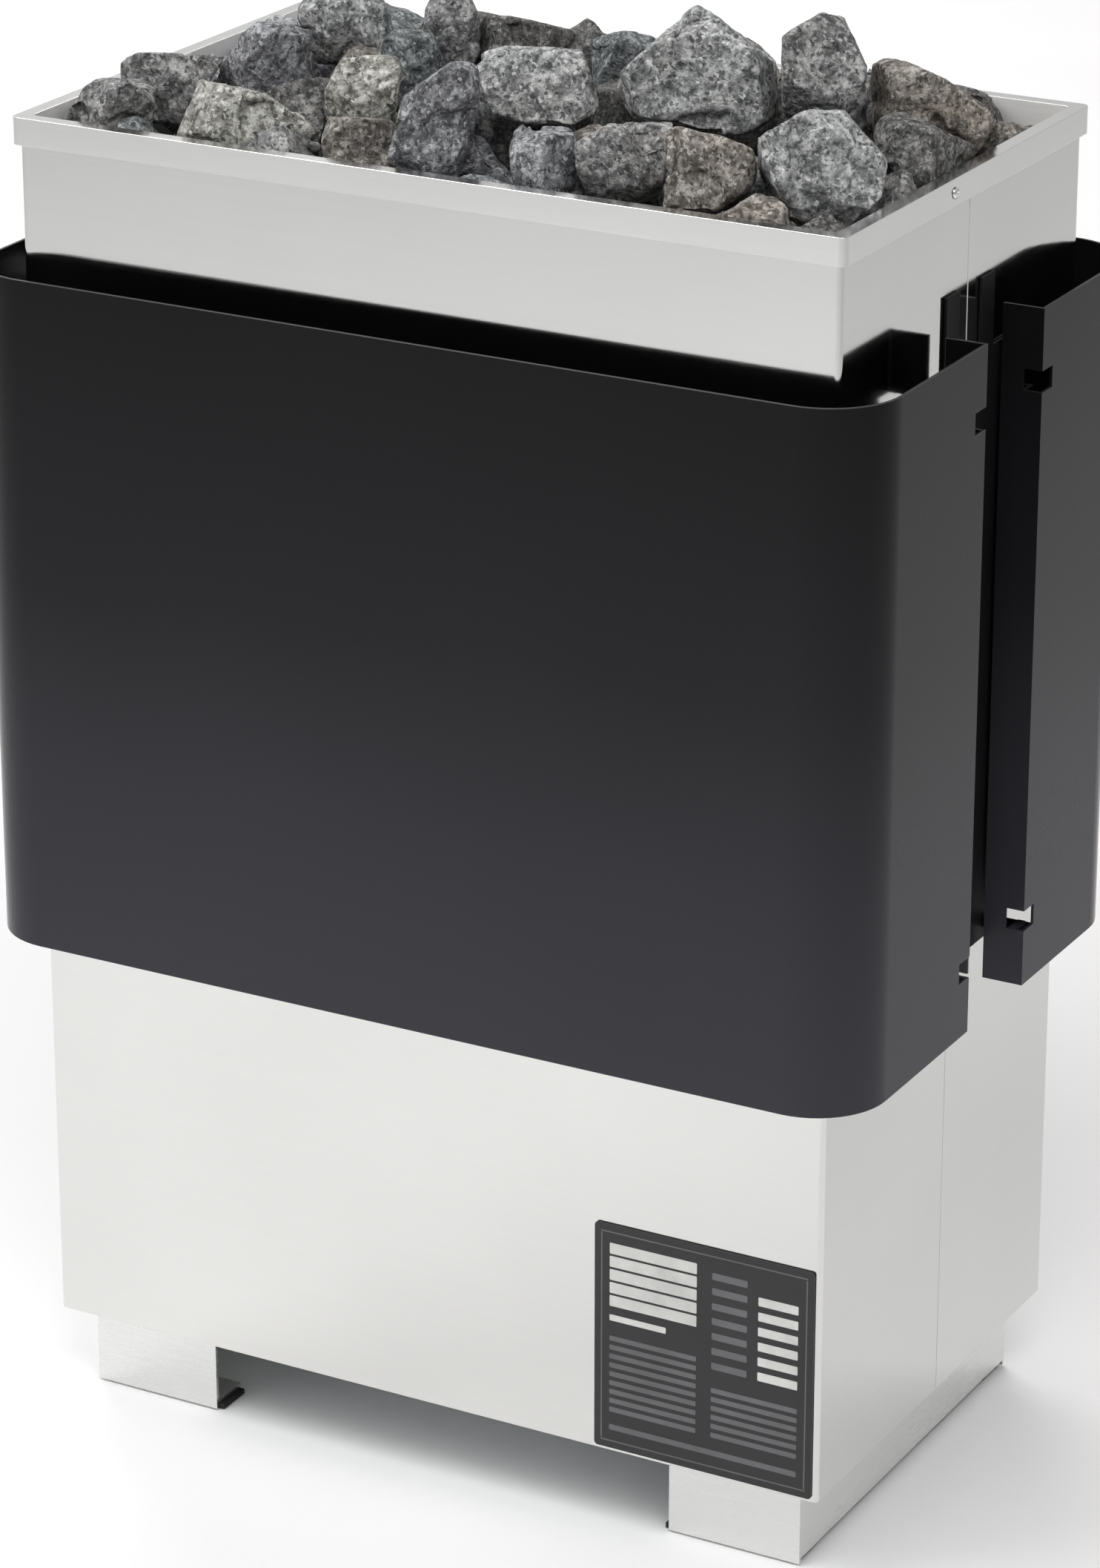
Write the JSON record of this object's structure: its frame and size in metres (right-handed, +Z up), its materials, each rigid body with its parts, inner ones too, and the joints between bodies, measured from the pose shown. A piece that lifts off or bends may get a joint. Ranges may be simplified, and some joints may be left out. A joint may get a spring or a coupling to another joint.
{
  "type": "sauna heater stove",
  "caption": "Floor-standing electric sauna heater: polished steel casing on two feet, dark lift-off front and rear panels, heating elements inside and a heap of stones on top.",
  "frame": {"origin": "on the floor, under the middle of the heater", "axes": "+Z up, front faces -Y, +X to the right when facing the front"},
  "size_m": [0.5, 0.32, 0.7624],
  "materials": {
    "panel_paint": "satin stoved enamel, near black",
    "polished_steel": "bright polished stainless",
    "foot_steel": "satin stainless",
    "zinc_steel": "zinc coated",
    "heat_steel": "heat tinted",
    "data_plate": "dark printed, blank fields",
    "pad_rubber": "matte",
    "terminal_ceramic": "bisque",
    "lead_sleeve": "woven sleeve",
    "brass_parts": "plain",
    "gland_plastic": "moulded",
    "stone": "broken speckled rock"
  },
  "bodies": {
    "root": {"hook_rail_front_right": "panel_paint", "hook_rail_front_left": "panel_paint", "hook_rail_rear_right": "panel_paint", "hook_rail_rear_left": "panel_paint", "front_shell": "polished_steel", "rear_shell": "polished_steel", "rim_frame": "polished_steel", "rim_rivet_right": "polished_steel", "rim_rivet_left": "polished_steel", "data_plate": "data_plate", "right_foot": "foot_steel", "left_foot": "foot_steel", "foot_pad_front_right": "pad_rubber", "foot_pad_front_left": "pad_rubber", "foot_pad_rear_right": "pad_rubber", "foot_pad_rear_left": "pad_rubber", "foot_screw_front_right": "zinc_steel", "foot_screw_rear_right": "zinc_steel", "foot_screw_front_left": "zinc_steel", "foot_screw_rear_left": "zinc_steel", "base_tray": "zinc_steel", "element_plate": "zinc_steel", "inner_duct": "zinc_steel", "stone_grate": "heat_steel", "heating_element_1": "heat_steel", "heating_element_2": "heat_steel", "heating_element_3": "heat_steel", "terminal_bracket": "zinc_steel", "terminal_block": "terminal_ceramic", "lead_phase_1": "lead_sleeve", "lead_phase_2": "lead_sleeve", "lead_phase_3": "lead_sleeve", "star_bridge": "brass_parts", "earth_stud": "brass_parts", "cable_gland": "gland_plastic", "gland_nut": "gland_plastic", "stone_bed": "stone", "stone_01": "stone", "stone_02": "stone", "stone_03": "stone", "stone_04": "stone", "stone_05": "stone", "stone_06": "stone", "stone_07": "stone", "stone_08": "stone", "stone_09": "stone", "stone_10": "stone", "stone_11": "stone", "stone_12": "stone", "stone_13": "stone", "stone_14": "stone", "stone_15": "stone", "stone_16": "stone", "stone_17": "stone", "stone_18": "stone", "stone_19": "stone", "stone_20": "stone", "stone_21": "stone"},
    "front_panel": {"front_panel": "panel_paint"},
    "rear_panel": {"rear_panel": "panel_paint"}
  },
  "joints": [
    {"name": "front_panel_lift", "type": "slide", "parent": "root", "child": "front_panel", "axis": [0, 0, 1], "range_m": [0, 0.5]},
    {"name": "rear_panel_lift", "type": "slide", "parent": "root", "child": "rear_panel", "axis": [0, 0, 1], "range_m": [0, 0.5]}
  ]
}
